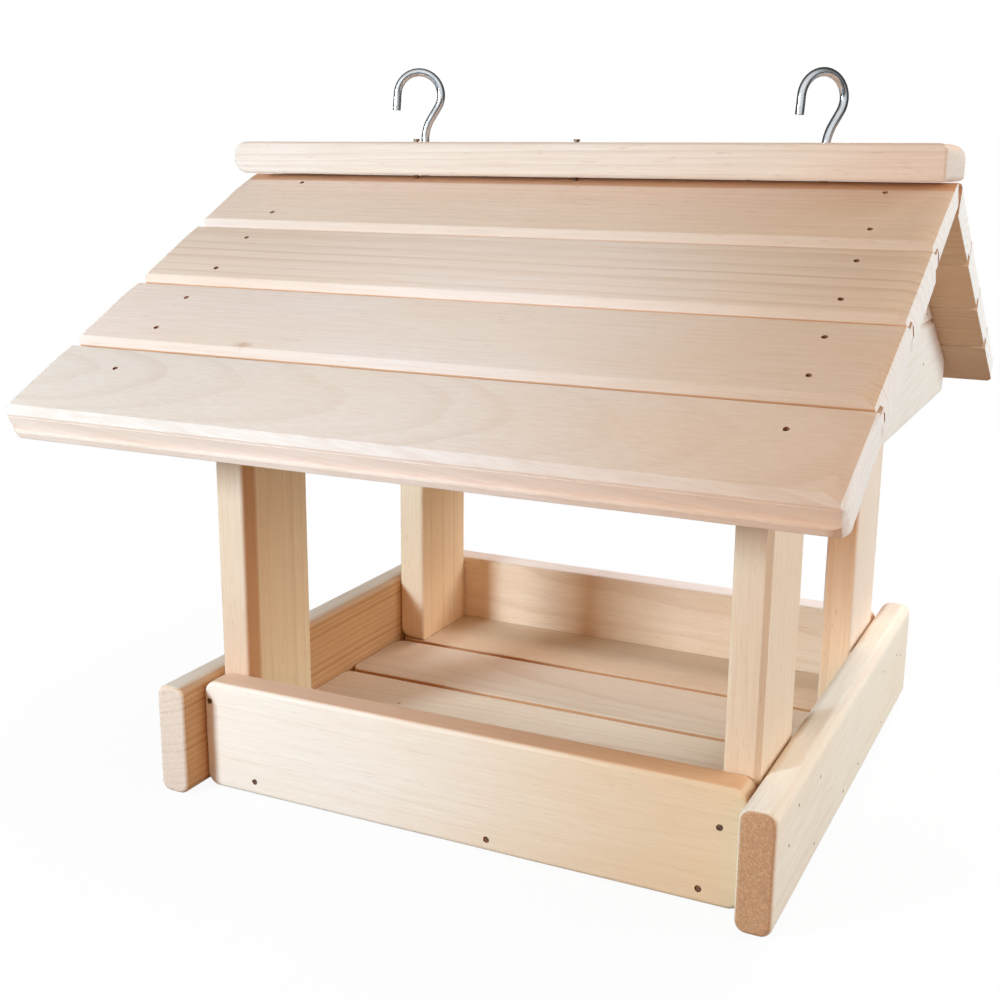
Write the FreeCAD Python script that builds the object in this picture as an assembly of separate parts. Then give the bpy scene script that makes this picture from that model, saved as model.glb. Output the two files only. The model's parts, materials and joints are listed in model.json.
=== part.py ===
import FreeCAD, Part
import math
import os

# Wooden bird feeder: a slatted tray, four posts, two gables and a boarded saddle roof with a
# flat ridge lath and two screw hooks to hang it by. All sizes are in millimetres.
# The ridge runs along X, the front faces -Y and the tray stands on Z = 0 about the origin.

# Lath stock
lath_thick = 13.5
lath_wide = 46.0
edge_round = 2.0            # long edges of a lath

# Tray
tray_inner_width = 227.0    # between the side boards, along X
side_overhang = 12.5        # of the side boards past the front and back boards
tray_corner_round = 6.0     # corners of the boards' wide faces
tray_nose_round = 2.0       # corners of the boards' ends, seen across the thickness
side_edge_round = 4.5       # long edges of the side boards
side_end_round = 1.8        # around their ends
floor_slat_count = 4
floor_gap = 3.0             # open joint between two floor slats
floor_corner_round = 6.0
floor_nose_round = 4.0

# Posts
post_edge_round = 1.8
post_foot_round = 4.0

# Gables
gable_thick = 17.5
gable_width = 272.0
gable_end_height = 15.5     # upright ends, below the roof
gable_upper_board = 47.7    # height of the upper of the two boards, from the joint to the apex
gable_joint_chamfer = 1.2
gable_edge_round = 2.0

# Roof
roof_pitch = 27.4           # degrees
roof_apex = 233.0           # height where the undersides of the two slopes meet
roof_end_overhang = 21.5    # past the gables
roof_shift = -2.3           # along X, the roof sits a little to the left on the gables
roof_slat_count = 4         # on each slope
roof_slat_cover = 45.1      # from one slat to the next down the slope
roof_chamfer = 2.8          # lower edge of each slat's face
roof_ease = 2.1             # upper edge of each slat's face
roof_joint_gap = 1.4        # shadow line between two faces
roof_upper_flat = 1.0       # between the chamfer and the groove
roof_lower_lip = 4.0        # wood below the groove
lower_lip_ease = 1.5
groove_depth = 6.0
tongue_end_gap = 0.5
tongue_fit = 0.1            # on each side of the tongue
tongue_setback = 1.0        # from the slat's ends
roof_corner_round = 4.0

# Ridge
ridge_setback = 2.0         # short of the slats at each end
ridge_corner_round = 2.5
ridge_left_round = 6.3      # the left end is sanded almost half round
ridge_right_round = 2.5     # the right end is only eased

# Hooks
hook_wire = 3.3             # diameter
hook_bow_radius = 9.25      # to the wire's centre
hook_bow_offset = -2.45     # bow's centre from the shank's axis
hook_bow_height = 19.15     # bow's centre above the ridge
hook_leg = 6.8              # straight end of the bow
hook_leg_flare = 4.0        # degrees, outward
hook_lean = 32.0            # degrees, from the shank to the bow
hook_bend_radius = 16.6
hook_screw_depth = 17.5     # below the top of the ridge
hook_point = 3.0            # length of the screw's point
hook_fit = 0.05             # radial room in the ridge
hook_mouth_flare = 1.2      # wood pressed back at the mouth of the hole
hook_mouth_depth = 2.5
left_hook_x = -69.7
left_hook_turn = 21.0       # degrees from the ridge line
left_hook_sink = 0.0
right_hook_x = 100.5
right_hook_turn = 46.5      # degrees from the ridge line
right_hook_sink = 2.9       # turned further in than the left hook

# Nails
nail_radius = 0.9
nail_head_radius = 1.3
nail_head_thick = 0.8
nail_set = 0.7              # depth of the pit above the head
nail_fit = 0.05             # radial room
tray_nail_length = 25.0
gable_nail_length = 25.0
roof_nail_length = 28.0
ridge_nail_length = 30.0
ridge_nail_stand = 1.2      # heads left standing on the ridge's front row
front_post_nails = [(-1, 3.0, 37.3), (1, 9.5, 30.5)]    # side, inset from the board's end, height
front_floor_nails = [(-1, 23.9, 6.0), (1, 98.5, 5.0), (1, 16.2, 5.6)]
side_post_nails = [(-1, 3.5, 36.4), (-1, 36.5, 33.2), (1, 36.5, 33.2), (1, 3.5, 30.0)]  # inset in the post
side_board_nail_depth = 7.8     # in the thickness of the front and back boards
side_board_nail_height = 26.4
side_floor_nail_shift = 10.1    # from each slat's middle towards the tray's
side_floor_nail_height = 7.8
gable_nail_inset = 21.5         # in the post
gable_nail_heights = [-17.3, 4.2]   # from the joint between the boards
roof_left_nail_inset = 7.2      # from the gable's outer face
roof_right_nail_inset = 5.0     # unlike the left, so nails from the two slopes miss each other
roof_nail_rows = [(8.0, 34.0), (10.0, 34.0), (11.0, 32.0), (14.2,)]   # below each slat's upper edge
ridge_nail_offset = 8.0         # from the ridge line
ridge_nail_places = [-69.5, 3.3]

# Values that follow from the driving sizes
half_width = tray_inner_width / 2
half_depth = (floor_slat_count * lath_wide + (floor_slat_count - 1) * floor_gap) / 2
tray_outer_x = half_width + lath_thick
tray_outer_y = half_depth + lath_thick
side_half_length = tray_outer_y + side_overhang
gable_outer_x = half_width + gable_thick
pitch_sin = math.sin(math.radians(roof_pitch))
pitch_cos = math.cos(math.radians(roof_pitch))
pitch_tan = math.tan(math.radians(roof_pitch))
gable_shoulder = roof_apex - gable_width / 2 * pitch_tan
gable_bottom = gable_shoulder - gable_end_height
gable_joint = roof_apex - gable_upper_board
roof_length = 2 * (gable_outer_x + roof_end_overhang)
ridge_length = roof_length - 2 * ridge_setback
roof_face_apex = roof_apex + lath_thick / pitch_cos
roof_upper_lip = roof_chamfer + roof_upper_flat
first_slat_edge = lath_thick * pitch_tan
ridge_bottom = roof_face_apex - first_slat_edge * pitch_sin
ridge_top = ridge_bottom + lath_thick
wire_radius = hook_wire / 2


def vector(x, y, z):
    return FreeCAD.Vector(x, y, z)


def opposite(shape):
    """Copy of a shape turned half a turn about the feeder's middle."""
    copy = shape.copy()
    copy.rotate(vector(0, 0, 0), vector(0, 0, 1), 180)
    return copy


def polygon_prism(points, reach):
    """Closed outline through the points, extruded along a vector."""
    wire = Part.makePolygon(points + points[:1])
    return Part.Face(wire).extrude(reach)


def rounded_prism(low, high, axis, radius):
    """Box between two corners whose four edges along one axis are rounded."""
    across = (axis + 1) % 3
    along = (axis + 2) % 3
    limit = 0.49 * min(high[across] - low[across], high[along] - low[along])
    radius = min(radius, limit)
    slant = radius * (1 - math.sqrt(0.5))

    def point(a, b):
        place = [0.0, 0.0, 0.0]
        place[axis] = low[axis]
        place[across] = a
        place[along] = b
        return vector(*place)

    a0, a1 = low[across], high[across]
    b0, b1 = low[along], high[along]
    edges = [
        Part.LineSegment(point(a0 + radius, b0), point(a1 - radius, b0)),
        Part.Arc(point(a1 - radius, b0), point(a1 - slant, b0 + slant), point(a1, b0 + radius)),
        Part.LineSegment(point(a1, b0 + radius), point(a1, b1 - radius)),
        Part.Arc(point(a1, b1 - radius), point(a1 - slant, b1 - slant), point(a1 - radius, b1)),
        Part.LineSegment(point(a1 - radius, b1), point(a0 + radius, b1)),
        Part.Arc(point(a0 + radius, b1), point(a0 + slant, b1 - slant), point(a0, b1 - radius)),
        Part.LineSegment(point(a0, b1 - radius), point(a0, b0 + radius)),
        Part.Arc(point(a0, b0 + radius), point(a0 + slant, b0 + slant), point(a0 + radius, b0)),
    ]
    face = Part.Face(Part.Wire([edge.toShape() for edge in edges]))
    reach = [0.0, 0.0, 0.0]
    reach[axis] = high[axis] - low[axis]
    return face.extrude(vector(*reach))


def lath(low, high, corner, nose, edge=edge_round):
    """Lath between two corners, rounded at its wide faces' corners, its ends and its long edges.

    Its length, width and thickness are the longest, middle and shortest of the three sizes.
    """
    sizes = [high[axis] - low[axis] for axis in range(3)]
    thickness_axis, width_axis, length_axis = sorted(range(3), key=lambda axis: sizes[axis])
    shape = rounded_prism(low, high, thickness_axis, corner)
    shape = shape.common(rounded_prism(low, high, width_axis, nose))
    return shape.common(rounded_prism(low, high, length_axis, edge))


def tray_boards():
    low = (-half_width, -tray_outer_y, 0)
    high = (half_width, -half_depth, lath_wide)
    front = lath(low, high, tray_corner_round, tray_nose_round)
    low = (half_width, -side_half_length, 0)
    high = (tray_outer_x, side_half_length, lath_wide)
    right = lath(low, high, side_end_round, side_end_round, side_edge_round)
    return {
        "tray_front_board": front,
        "tray_back_board": opposite(front),
        "tray_right_board": right,
        "tray_left_board": opposite(right),
    }


def floor_slats():
    slats = {}
    for number in range(floor_slat_count):
        front_edge = -half_depth + number * (lath_wide + floor_gap)
        low = (-half_width, front_edge, 0)
        high = (half_width, front_edge + lath_wide, lath_thick)
        slats["floor_slat_%d" % (number + 1)] = lath(low, high, floor_corner_round, floor_nose_round)
    return slats


def posts():
    """Four laths in the tray's corners, cut along the underside of the roof."""
    inner_y = half_depth - lath_wide
    tall = roof_apex
    cut_inner = roof_apex - inner_y * pitch_tan
    cut_outer = roof_apex - half_depth * pitch_tan
    above_roof = polygon_prism(
        [
            vector(0, -inner_y, cut_inner),
            vector(0, -half_depth, cut_outer),
            vector(0, -half_depth, tall),
            vector(0, -inner_y, tall),
        ],
        vector(half_width, 0, 0),
    )
    low = (half_width - lath_thick, -half_depth, lath_thick)
    high = (half_width, -inner_y, tall)
    stick = lath(low, high, post_foot_round, post_foot_round, post_edge_round)
    front_right = stick.cut(above_roof)
    front_left = front_right.mirror(vector(0, 0, 0), vector(1, 0, 0))
    return {
        "post_front_right": front_right,
        "post_front_left": front_left,
        "post_back_left": opposite(front_right),
        "post_back_right": opposite(front_left),
    }


def gables():
    """Two boards at each end, outside the posts, with a chamfered joint on the outer face."""
    half = gable_width / 2
    joint_half = (roof_apex - gable_joint) / pitch_tan
    reach = vector(gable_thick, 0, 0)
    lower = polygon_prism(
        [
            vector(half_width, -half, gable_bottom),
            vector(half_width, half, gable_bottom),
            vector(half_width, half, gable_shoulder),
            vector(half_width, joint_half, gable_joint),
            vector(half_width, -joint_half, gable_joint),
            vector(half_width, -half, gable_shoulder),
        ],
        reach,
    )
    upper = polygon_prism(
        [
            vector(half_width, -joint_half, gable_joint),
            vector(half_width, joint_half, gable_joint),
            vector(half_width, 0, roof_apex),
        ],
        reach,
    )
    joint = polygon_prism(
        [
            vector(gable_outer_x, -half, gable_joint - gable_joint_chamfer),
            vector(gable_outer_x, -half, gable_joint + gable_joint_chamfer),
            vector(gable_outer_x - gable_joint_chamfer, -half, gable_joint),
        ],
        vector(0, gable_width, 0),
    )
    soft_edges = [edge for edge in lower.Edges if edge.BoundBox.ZMax < gable_bottom + gable_edge_round]
    lower = lower.makeFillet(gable_edge_round, soft_edges).cut(joint)
    upper = upper.cut(joint)
    return {
        "gable_lower_right": lower,
        "gable_upper_right": upper,
        "gable_lower_left": opposite(lower),
        "gable_upper_left": opposite(upper),
    }


def roof_slat(number):
    """Front slat, counted from the ridge: groove at its lower edge, tongue at its upper edge.

    It is drawn with Y up the slope from the apex and Z out of the roof's face, then tilted.
    """
    upper = -first_slat_edge - number * roof_slat_cover
    lower = upper - roof_slat_cover
    face_end = lower + roof_joint_gap
    half = roof_length / 2
    ease = roof_ease if number else 0.0
    outline = [
        (upper - ease, 0),
        (face_end + roof_chamfer, 0),
        (face_end, -roof_chamfer),
        (face_end, -roof_upper_lip),
        (lower + groove_depth, -roof_upper_lip),
        (lower + groove_depth, roof_lower_lip - lath_thick),
        (lower, roof_lower_lip - lath_thick),
        (lower, lower_lip_ease - lath_thick),
        (lower + lower_lip_ease, -lath_thick),
        (upper, -lath_thick),
        (upper, -ease),
    ]
    points = [vector(-half, y, z) for y, z in outline]
    if not ease:
        points.pop()
    body = polygon_prism(points, vector(roof_length, 0, 0))
    plan = rounded_prism((-half, lower, -lath_thick), (half, upper, 0), 2, roof_corner_round)
    body = body.common(plan)
    if number:
        tongue_thick = lath_thick - roof_upper_lip - roof_lower_lip - 2 * tongue_fit
        tongue_span = roof_length - 2 * tongue_setback
        tongue_length = groove_depth - tongue_end_gap
        corner = vector(-tongue_span / 2, upper, roof_lower_lip + tongue_fit - lath_thick)
        body = body.fuse(Part.makeBox(tongue_span, tongue_length, tongue_thick, corner))
        body = body.removeSplitter()
    return on_front_slope(body)


def on_front_slope(shape):
    """Tilts a shape drawn flat, with Y up the slope, onto the front of the roof."""
    shape.rotate(vector(0, 0, 0), vector(1, 0, 0), roof_pitch)
    shape.translate(vector(0, 0, roof_face_apex))
    return shape


def roof_slats():
    slats = {}
    for number in range(roof_slat_count):
        slat = roof_slat(number)
        slats["roof_front_slat_%d" % (number + 1)] = slat
        slats["roof_back_slat_%d" % (number + 1)] = opposite(slat)
    for slat in slats.values():
        slat.translate(vector(roof_shift, 0, 0))
    return slats


def ridge_board():
    """Flat lath over the ridge, resting on the upper corners of the top slats."""
    left = roof_shift - ridge_length / 2
    right = roof_shift + ridge_length / 2
    low = (left, -lath_wide / 2, ridge_bottom)
    board = lath(low, (right, lath_wide / 2, ridge_top), ridge_corner_round, ridge_right_round)
    past_right = (right + lath_thick, lath_wide / 2, ridge_top)
    board = board.common(rounded_prism(low, past_right, 1, ridge_left_round))
    hole_radius = wire_radius + hook_fit
    for x in (left_hook_x, right_hook_x):
        hole = Part.makeCylinder(hole_radius, lath_thick, vector(x, 0, ridge_bottom))
        mouth = Part.makeCone(hole_radius, hole_radius + hook_mouth_flare, hook_mouth_depth,
                              vector(x, 0, ridge_top - hook_mouth_depth))
        board = board.cut(hole).cut(mouth)
    return board


def hook(x, turn, sink):
    """Screw hook of round wire, drawn in its own upright plane and turned about its shank."""
    lean_sin = math.sin(math.radians(hook_lean))
    lean_cos = math.cos(math.radians(hook_lean))
    bow = vector(hook_bow_offset, 0, hook_bow_height)
    join = bow + vector(lean_cos, 0, -lean_sin) * hook_bow_radius
    bend_end_x = hook_bend_radius * (1 - lean_cos)
    straight = (join.x - bend_end_x) / lean_sin
    bend_end = join - vector(lean_sin, 0, lean_cos) * straight
    bend_start = vector(0, 0, bend_end.z - hook_bend_radius * lean_sin)
    half_lean = math.radians(hook_lean / 2)
    bend_middle = bend_start + vector(1 - math.cos(half_lean), 0, math.sin(half_lean)) * hook_bend_radius
    shank_end = vector(0, 0, hook_point - hook_screw_depth)
    top_angle = math.radians((180 - hook_leg_flare - hook_lean) / 2)
    bow_middle = bow + vector(math.cos(top_angle), 0, math.sin(top_angle)) * hook_bow_radius
    flare = math.radians(hook_leg_flare)
    leg_start = bow + vector(-math.cos(flare), 0, math.sin(flare)) * hook_bow_radius
    leg_end = leg_start - vector(math.sin(flare), 0, math.cos(flare)) * hook_leg
    path = Part.Wire([
        Part.LineSegment(shank_end, bend_start).toShape(),
        Part.Arc(bend_start, bend_middle, bend_end).toShape(),
        Part.LineSegment(bend_end, join).toShape(),
        Part.Arc(join, bow_middle, leg_start).toShape(),
        Part.LineSegment(leg_start, leg_end).toShape(),
    ])
    section = Part.Wire(Part.makeCircle(wire_radius, shank_end, vector(0, 0, 1)))
    wire = path.makePipeShell([section], True, False)
    point = Part.makeCone(0, wire_radius, hook_point, shank_end - vector(0, 0, hook_point))
    shape = wire.fuse(point).removeSplitter()
    shape.rotate(vector(0, 0, 0), vector(0, 0, 1), turn)
    shape.translate(vector(x, 0, ridge_top - sink))
    return shape


def nail(place, direction, length, set_depth):
    """Nail driven at a point of a surface, and the hole that it makes in the wood."""
    head_top = place + direction * set_depth
    neck = head_top + direction * nail_head_thick
    head = Part.makeCylinder(nail_head_radius, nail_head_thick, head_top, direction)
    shank = Part.makeCylinder(nail_radius, length - nail_head_thick, neck, direction)
    hole = Part.makeCylinder(nail_radius + nail_fit, length, head_top, direction)
    if set_depth > 0:
        pit_depth = set_depth + nail_head_thick
        hole = hole.fuse(Part.makeCylinder(nail_head_radius + nail_fit, pit_depth, place, direction))
    return head.fuse(shank).removeSplitter(), hole


def with_opposites(pairs):
    """Nails and holes of one side together with those of the side across the feeder."""
    return pairs + [(opposite(body), opposite(hole)) for body, hole in pairs]


def tray_nails():
    """Nails through the front and side boards into the posts, the floor and the next board."""
    inward = vector(0, 1, 0)
    pairs = []
    for side, inset, height in front_post_nails + front_floor_nails:
        place = vector(side * (half_width - inset), -tray_outer_y, height)
        pairs.append(nail(place, inward, tray_nail_length, nail_set))
    places = [(side * (half_depth - inset), height) for side, inset, height in side_post_nails]
    for side in (-1, 1):
        places.append((side * (half_depth + side_board_nail_depth), side_board_nail_height))
    for number in range(floor_slat_count):
        middle = lath_wide / 2 + number * (lath_wide + floor_gap) - half_depth
        shift = math.copysign(side_floor_nail_shift, middle)
        places.append((middle - shift, side_floor_nail_height))
    inward = vector(-1, 0, 0)
    for y, z in places:
        pairs.append(nail(vector(tray_outer_x, y, z), inward, tray_nail_length, nail_set))
    return with_opposites(pairs)


def gable_nails():
    """Nails through the gable boards into the posts behind them."""
    pairs = []
    for side in (-1, 1):
        for height in gable_nail_heights:
            place = vector(gable_outer_x, side * (half_depth - gable_nail_inset), gable_joint + height)
            pairs.append(nail(place, vector(-1, 0, 0), gable_nail_length, nail_set))
    return with_opposites(pairs)


def roof_nails():
    """Nails through the slats' ends into the gables, square to the roof's face."""
    inward = vector(0, pitch_sin, -pitch_cos)
    left_x = roof_left_nail_inset - gable_outer_x
    right_x = gable_outer_x - roof_right_nail_inset
    pairs = []
    for number, rows in enumerate(roof_nail_rows[:roof_slat_count]):
        for row in rows:
            run = first_slat_edge + number * roof_slat_cover + row
            for x in (left_x, right_x):
                place = vector(x, -run * pitch_cos, roof_face_apex - run * pitch_sin)
                pairs.append(nail(place, inward, roof_nail_length, nail_set))
    return with_opposites(pairs)


def ridge_nails():
    """Nails through the ridge lath: the front row stands a little proud, the back row is set."""
    inward = vector(0, 0, -1)
    pairs = []
    for x in ridge_nail_places:
        front = vector(x, -ridge_nail_offset, ridge_top)
        back = vector(-x, ridge_nail_offset, ridge_top)
        pairs.append(nail(front, inward, ridge_nail_length, -ridge_nail_stand))
        pairs.append(nail(back, inward, ridge_nail_length, nail_set))
    return pairs


def drilled(board, holes):
    """Board with every nail hole that reaches it."""
    near = [hole for hole in holes if hole.BoundBox.intersect(board.BoundBox)]
    return board.cut(near) if near else board


def build():
    boards = {}
    boards.update(tray_boards())
    boards.update(floor_slats())
    boards.update(posts())
    boards.update(gables())
    boards.update(roof_slats())
    boards["ridge_board"] = ridge_board()
    groups = {
        "tray_nails": tray_nails(),
        "gable_nails": gable_nails(),
        "roof_nails": roof_nails(),
        "ridge_nails": ridge_nails(),
    }
    holes = [hole for pairs in groups.values() for body, hole in pairs]
    nodes = {name: drilled(board, holes) for name, board in boards.items()}
    for name, pairs in groups.items():
        nodes[name] = Part.makeCompound([body for body, hole in pairs])
    nodes["hook_left"] = hook(left_hook_x, left_hook_turn, left_hook_sink)
    nodes["hook_right"] = hook(right_hook_x, right_hook_turn, right_hook_sink)
    return nodes


os.makedirs("parts", exist_ok=True)
for name, shape in build().items():
    shape.exportStep("parts/%s.step" % name)
    print(name, len(shape.Solids), "solids", round(shape.Volume, 1), "mm3")
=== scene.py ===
import json
import math

import bmesh
import bpy
from bpy.props import FloatProperty, FloatVectorProperty, PointerProperty
from mathutils import Euler, Matrix, Vector, noise


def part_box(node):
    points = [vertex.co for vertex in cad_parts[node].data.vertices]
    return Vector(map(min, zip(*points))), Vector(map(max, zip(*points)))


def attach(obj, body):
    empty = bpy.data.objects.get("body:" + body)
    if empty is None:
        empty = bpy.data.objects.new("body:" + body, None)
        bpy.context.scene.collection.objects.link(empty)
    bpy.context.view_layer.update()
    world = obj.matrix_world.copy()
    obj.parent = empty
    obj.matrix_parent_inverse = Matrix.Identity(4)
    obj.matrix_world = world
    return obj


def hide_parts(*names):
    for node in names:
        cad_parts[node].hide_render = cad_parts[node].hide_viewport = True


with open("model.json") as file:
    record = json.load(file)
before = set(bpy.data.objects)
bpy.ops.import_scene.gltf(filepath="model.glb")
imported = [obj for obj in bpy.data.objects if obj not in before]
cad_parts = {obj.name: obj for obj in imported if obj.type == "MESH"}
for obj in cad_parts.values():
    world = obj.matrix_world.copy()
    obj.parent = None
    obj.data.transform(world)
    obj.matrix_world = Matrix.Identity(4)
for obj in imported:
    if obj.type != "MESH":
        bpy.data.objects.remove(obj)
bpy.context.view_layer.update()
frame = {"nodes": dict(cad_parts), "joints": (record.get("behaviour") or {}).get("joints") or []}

bl_info = {
    "name": "Wooden bird feeder",
    "version": (1, 0, 0),
    "blender": (4, 5, 0),
    "location": "3D View > Sidebar > Feeder",
    "description": "Dresses the packed bird feeder in sanded pine boards, nails and zinc hooks",
    "category": "Object",
}

BODY = "feeder"
X, Y, Z = Vector((1, 0, 0)), Vector((0, 1, 0)), Vector((0, 0, 1))
WHITE = (1, 1, 1)
LIGHT_AIM = Vector((0, 0, 0.1))

# Distances that count as the same place, and as touching a plane.
NEAR, TOUCH = 1e-5, 1e-6
# Least share of a direction along an axis that counts as parallel to it.
FLAT = 0.999
# Least angles of edges that are shaded sharp, and of edges between square faces.
SHARP, SQUARE = math.radians(32), math.radians(60)
# Fineness of the sanded hollows across and along the grain.
HOLLOWS_ACROSS, HOLLOWS_ALONG = 90, 22
# How far a nail pit reaches below and above the nail's head, and its number of sides.
PIT_BELOW, PIT_ABOVE, PIT_SIDES = 0.00085, 0.0025, 14
# A pit's radius at its foot and at its top and how ragged it is, as shares of its mouth, and the fineness.
PIT_FOOT, PIT_TOP, PIT_RAGGED, PIT_FINENESS = 0.85, 1.2, 0.3, 1900
# Points this close to a nail's end belong to its rim.
RIM_DEPTH = 0.0002

# Heights and the roof's slope, read from the gable boards.
GABLE_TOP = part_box("gable_upper_right")
APEX = GABLE_TOP[1].z
JOINT = GABLE_TOP[0].z
PITCH = math.atan2(APEX - JOINT, GABLE_TOP[1].y)
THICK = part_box("tray_front_board")[1].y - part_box("tray_front_board")[0].y


def a_length(name, description, default):
    return FloatProperty(name=name, description=description, default=default, min=0.0, unit="LENGTH")


def a_colour(name, description, default):
    return FloatVectorProperty(name=name, description=description, default=default, min=0.0, max=1.0,
                               subtype="COLOR")


def a_power(name, description, default):
    return FloatProperty(name=name, description=description, default=default, min=0.0, unit="POWER")


class FeederSizes(bpy.types.PropertyGroup):
    """Sizes of the sanded edges, the roof's joints and the nail pits"""

    board_corner: a_length("Board corners", "Rounding of the tray and floor boards' corners", 0.006)
    board_edge: a_length("Board edges", "Rounding of the front and back boards' edges", 0.002)
    floor_edge: a_length("Floor edges", "Rounding of the floor slats' edges", 0.0007)
    side_edge: a_length("Side board edges", "Rounding of the side boards' long edges", 0.0045)
    side_end: a_length("Side board ends", "Rounding around the side boards' ends", 0.0018)
    post_edge: a_length("Post edges", "Rounding of the posts' long edges", 0.0018)
    post_foot: a_length("Post feet", "Rounding of the posts' outer lower edges", 0.006)
    post_chamfer: a_length("Post chamfer", "Chamfer of the front right post's outer edge", 0.002)
    gable_edge: a_length("Gable edges", "Rounding of the gables' lower edges", 0.002)
    gable_corner: a_length("Gable corners", "Rounding of the gables' lower corners", 0.005)
    gable_joint: a_length("Gable joint", "Chamfer along the joint of the gable boards", 0.0012)
    ridge_nose: a_length("Ridge's left end", "Rounding of the ridge lath's left end", 0.0063)
    ridge_edge: a_length("Ridge edges", "Rounding of the ridge lath's other edges", 0.0016)
    slat_cover: a_length("Slat spacing", "Distance from one roof slat to the next", 0.0451)
    slat_chamfer: a_length("Slat chamfer", "Chamfer along each slat's lower edge", 0.0028)
    slat_gap: a_length("Slat gap", "Shadow line between two slats of the front slope", 0.0018)
    back_gap: a_length("Back slat gap", "Shadow line between two slats of the back slope", 0.0014)
    slat_corner: a_length("Slat corners", "Rounding of the slats' right lower corners", 0.006)
    left_corner: a_length("Slats' left corners", "Rounding of the slats' left corners", 0.004)
    slat_ease: a_length("Slat ease", "Chamfer along each slat's upper edge", 0.0026)
    slat_arris: a_length("Slat edges", "Softening of the slats' sharp edges", 0.0004)
    groove_depth: a_length("Groove depth", "Depth of the groove in each slat", 0.006)
    lip: a_length("Lower lip", "Wood below each slat's groove", 0.004)
    tongue_setback: a_length("Tongue ends", "Distance from a slat's ends to its tongue", 0.0002)
    end_round: a_length("Sanded ends", "Largest rounding of the slats' sanded ends", 0.0095)
    end_bow: a_length("Bowed ends", "Largest set-back of a slat end's upper corner", 0.003)
    end_under: a_length("Rounded underside", "Rounding below the top slat's right end", 0.0052)
    eave_under: a_length("Eave's left end", "Rounding below the front eave slat's left end", 0.008)
    eave_groove: a_length("Eave groove", "Depth of the groove that is left open along the eave", 0.0016)
    pit_mouth: a_length("Nail pit", "Radius of a nail pit at the surface", 0.00095)
    unevenness: a_length("Unevenness", "Depth of the hollows left by sanding", 0.00022)


class FeederFinish(bpy.types.PropertyGroup):
    """Colours of the pine, the nails and the hooks"""

    sapwood: a_colour("Sapwood", "Pale wood between the growth rings", (0.84, 0.675, 0.505))
    latewood: a_colour("Latewood", "Dark line of a growth ring", (0.56, 0.345, 0.19))
    end_grain: a_colour("End grain", "Wood cut across the grain", (0.60, 0.36, 0.205))
    bruise: a_colour("Nail pit", "Crushed wood in a nail pit", (0.24, 0.115, 0.05))
    nail: a_colour("Nail", "Dull steel of the wire nails", (0.17, 0.12, 0.085))
    zinc: a_colour("Zinc", "Plating of the hooks", (0.70, 0.73, 0.755))


class FeederLight(bpy.types.PropertyGroup):
    """Strength of the studio light"""

    key: a_power("Key", "Soft box at the front left, low enough to reach under the eave", 5.3)
    side: a_power("Side", "Soft box at the right", 8.3)
    back: a_power("Back", "High soft box behind", 14.0)
    fill: a_power("Fill", "Weak warm soft box at the front right", 1.7)
    room: FloatProperty(name="Room", description="Even warm light from all sides", default=0.27, min=0.0)


def settings():
    return bpy.context.scene


# Mesh helpers

def round_edges(bm, edges, radius, segments):
    bmesh.ops.bevel(bm, geom=list(edges), offset=radius, offset_type="OFFSET", affect="EDGES",
                    segments=segments, profile=0.5, material=-1, clamp_overlap=True)


def along(edge, axis):
    run = edge.verts[1].co - edge.verts[0].co
    return abs(run.normalized()[axis]) > FLAT


def rim_of(bm, axis):
    """Edges around the faces that look along one axis."""
    flat = [abs(face.normal[axis]) > FLAT for face in bm.faces]
    bm.faces.index_update()
    return [edge for edge in bm.edges if len(edge.link_faces) == 2
            and flat[edge.link_faces[0].index] != flat[edge.link_faces[1].index]]


def everything(bm):
    return bm.verts[:] + bm.edges[:] + bm.faces[:]


def block(low, high):
    bm = bmesh.new()
    bmesh.ops.create_cube(bm, size=1.0)
    bmesh.ops.scale(bm, vec=high - low, verts=bm.verts)
    bmesh.ops.translate(bm, vec=(low + high) / 2, verts=bm.verts)
    return bm


def extruded(outline, reach):
    """Solid with a flat outline, drawn through a few points, and extruded along a vector."""
    bm = bmesh.new()
    face = bm.faces.new([bm.verts.new(point) for point in outline])
    made = bmesh.ops.extrude_face_region(bm, geom=[face])
    moved = [item for item in made["geom"] if isinstance(item, bmesh.types.BMVert)]
    bmesh.ops.translate(bm, vec=reach, verts=moved)
    bmesh.ops.recalc_face_normals(bm, faces=bm.faces)
    return bm


def pare(bm, point, normal):
    """Takes off all wood on the normal's side of a plane and closes the cut."""
    bmesh.ops.bisect_plane(bm, geom=everything(bm), dist=TOUCH, plane_co=point, plane_no=normal,
                           clear_outer=True)
    rim = [edge for edge in bm.edges if edge.is_boundary]
    if rim:
        bmesh.ops.holes_fill(bm, edges=rim, sides=0)
        bmesh.ops.recalc_face_normals(bm, faces=bm.faces)


def sand_arris(bm, start, stop, first, second, radius_start, radius_stop, cuts=4):
    """Rounds the edge from one point to another, between faces with two normals, by a few plane cuts."""
    for number in range(cuts):
        angle = math.radians(90 * (number + 0.5) / cuts)
        out = first * math.cos(angle) + second * math.sin(angle)
        across = second * math.cos(angle) - first * math.sin(angle)
        near = start + (out - first - second) * radius_start
        far = stop + (out - first - second) * radius_stop
        normal = (far - near).cross(across)
        pare(bm, near, normal if normal.dot(out) > 0 else -normal)


def slice_along(bm, axis, spacing):
    """Adds loops across one axis, so that the board can be uneven along it."""
    places = [vert.co[axis] for vert in bm.verts]
    low, high = min(places), max(places)
    count = max(2, round((high - low) / spacing))
    normal = Vector((axis == 0, axis == 1, axis == 2))
    for number in range(1, count):
        place = normal * (low + (high - low) * number / count)
        bmesh.ops.bisect_plane(bm, geom=everything(bm), dist=TOUCH, plane_co=place, plane_no=normal)


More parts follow.
